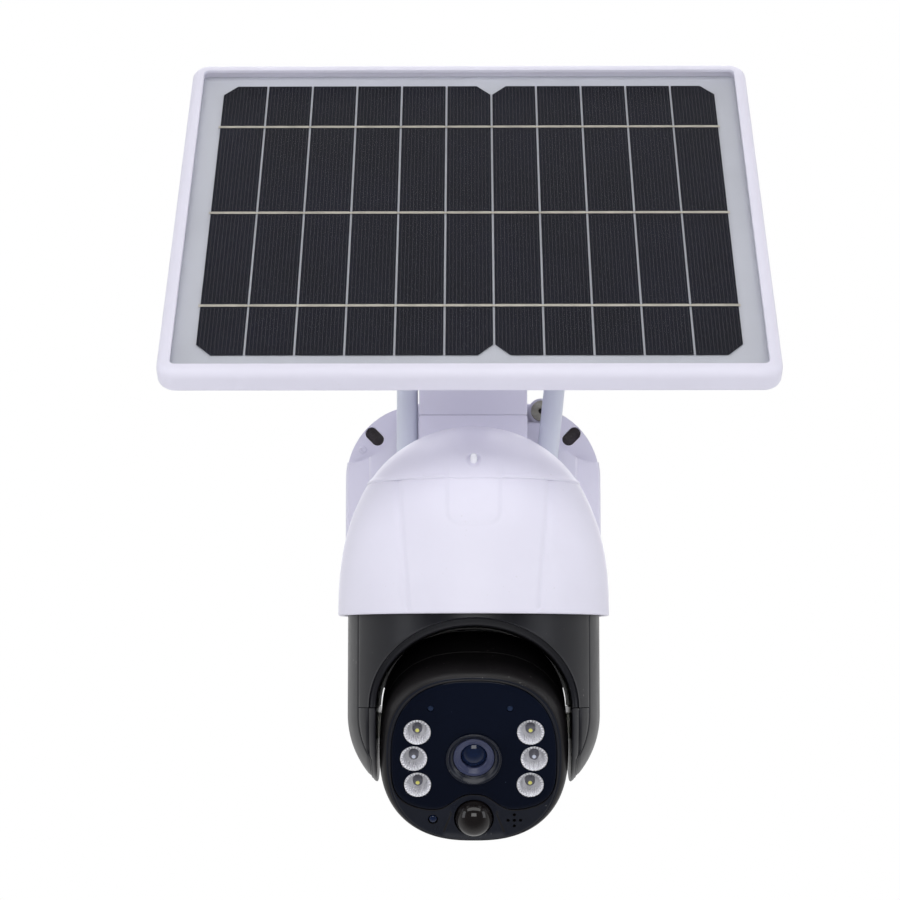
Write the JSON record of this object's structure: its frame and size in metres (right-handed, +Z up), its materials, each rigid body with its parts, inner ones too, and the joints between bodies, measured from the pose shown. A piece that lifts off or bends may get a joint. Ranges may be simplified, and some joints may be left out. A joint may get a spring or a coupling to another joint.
{
  "type": "solar security camera",
  "caption": "Wall-mounted pan-and-tilt camera under a domed hood, with swing-out antennas and a sloped solar panel on a hinged arm.",
  "frame": {"origin": "middle of the wall bracket's flat back face", "axes": "+Z up, +Y into the wall, +X to the right when facing the camera; the camera looks along -Y"},
  "size_m": [0.225, 0.1294, 0.3104],
  "materials": {
    "white_plastic": "satin",
    "black_plastic": "satin",
    "black_acrylic": "gloss",
    "antenna_plastic": "satin",
    "rubber": "matte",
    "steel": "brushed",
    "reflector": "polished",
    "circuit_board": "satin",
    "solar_cell": "satin",
    "back_sheet": "satin",
    "clear_glass": "polished",
    "lens_glass": "polished",
    "gear_nylon": "satin",
    "battery_sleeve": "gloss"
  },
  "bodies": {
    "base": {"wall_bracket": "white_plastic", "cable_grommet": "rubber", "hood_screw_left": "steel", "hood_screw_right": "steel", "hood_skirt": "white_plastic", "hood_cap": "white_plastic", "status_light": "clear_glass", "chassis": "black_plastic", "pan_bearing": "steel", "pan_motor": "steel", "battery_front": "battery_sleeve", "battery_rear": "battery_sleeve", "battery_tray": "back_sheet", "main_board": "circuit_board", "panel_arm": "white_plastic", "antenna_base_left": "antenna_plastic", "antenna_base_right": "antenna_plastic"},
    "yoke": {"yoke_front": "black_plastic", "yoke_rear": "black_plastic", "arm_foot_left": "black_plastic", "arm_foot_right": "black_plastic", "arm_cover_left": "black_plastic", "arm_cover_right": "black_plastic", "pan_gear": "gear_nylon", "pan_retainer": "steel", "tilt_gear": "gear_nylon", "tilt_axle_left": "gear_nylon"},
    "pan_drive": {"pan_pinion": "gear_nylon"},
    "head": {"head_bezel": "black_plastic", "head_shell": "black_plastic", "face_window": "black_acrylic", "lens_ring": "black_plastic", "lens_barrel": "black_plastic", "front_lens": "lens_glass", "led_board": "circuit_board", "image_board": "circuit_board", "pir_dome": "black_acrylic", "pir_sensor": "steel", "light_eye": "lens_glass", "speaker": "steel", "tilt_motor": "steel", "led_cup_1": "reflector", "led_cup_2": "reflector", "led_cup_3": "reflector", "led_cup_4": "reflector", "led_cup_5": "reflector", "led_cup_6": "reflector"},
    "tilt_drive": {"tilt_pinion": "gear_nylon"},
    "panel": {"panel_frame": "white_plastic", "panel_glass": "clear_glass", "cell_string": "solar_cell", "back_sheet": "back_sheet", "panel_back": "white_plastic", "junction_box": "black_plastic", "panel_ears": "white_plastic", "hinge_bolt": "steel"},
    "knob": {"hinge_knob": "black_plastic"},
    "left_antenna": {"antenna_rod_left": "antenna_plastic"},
    "right_antenna": {"antenna_rod_right": "antenna_plastic"}
  },
  "joints": [
    {"name": "pan", "type": "hinge", "parent": "base", "child": "yoke", "pos_m": [0, -0.064, -0.0317], "axis": [0, 0, 1], "range_deg": [-175, 175]},
    {"name": "pan_pinion_spin", "type": "hinge", "parent": "base", "child": "pan_drive", "pos_m": [0, -0.034, -0.0317], "axis": [0, 0, 1], "range_deg": [-580, 580]},
    {"name": "head_tilt", "type": "hinge", "parent": "yoke", "child": "head", "pos_m": [0, -0.064, -0.0805], "axis": [1, 0, 0], "range_deg": [-24, 60]},
    {"name": "tilt_pinion_spin", "type": "hinge", "parent": "head", "child": "tilt_drive", "pos_m": [0.0224, -0.0528, -0.09408], "axis": [1, 0, 0], "range_deg": [-56, 132]},
    {"name": "panel_tilt", "type": "hinge", "parent": "base", "child": "panel", "pos_m": [0, -0.0574, 0.0935], "axis": [1, 0, 0], "range_deg": [-25, 13]},
    {"name": "knob_turn", "type": "hinge", "parent": "panel", "child": "knob", "pos_m": [0.022, -0.0574, 0.0935], "axis": [1, 0, 0], "range_deg": [-180, 180]},
    {"name": "left_antenna_fold", "type": "hinge", "parent": "base", "child": "left_antenna", "pos_m": [-0.0263, -0.0254, 0.017], "axis": [0, -1, 0], "range_deg": [0, 90]},
    {"name": "right_antenna_fold", "type": "hinge", "parent": "base", "child": "right_antenna", "pos_m": [0.0286, -0.0254, 0.017], "axis": [0, 1, 0], "range_deg": [-6.4, 83.6]}
  ],
  "couplings": [
    {"joint": "pan_pinion_spin", "follows": "pan", "ratio": -3.2857},
    {"joint": "tilt_pinion_spin", "follows": "head_tilt", "ratio": 2.1429}
  ]
}
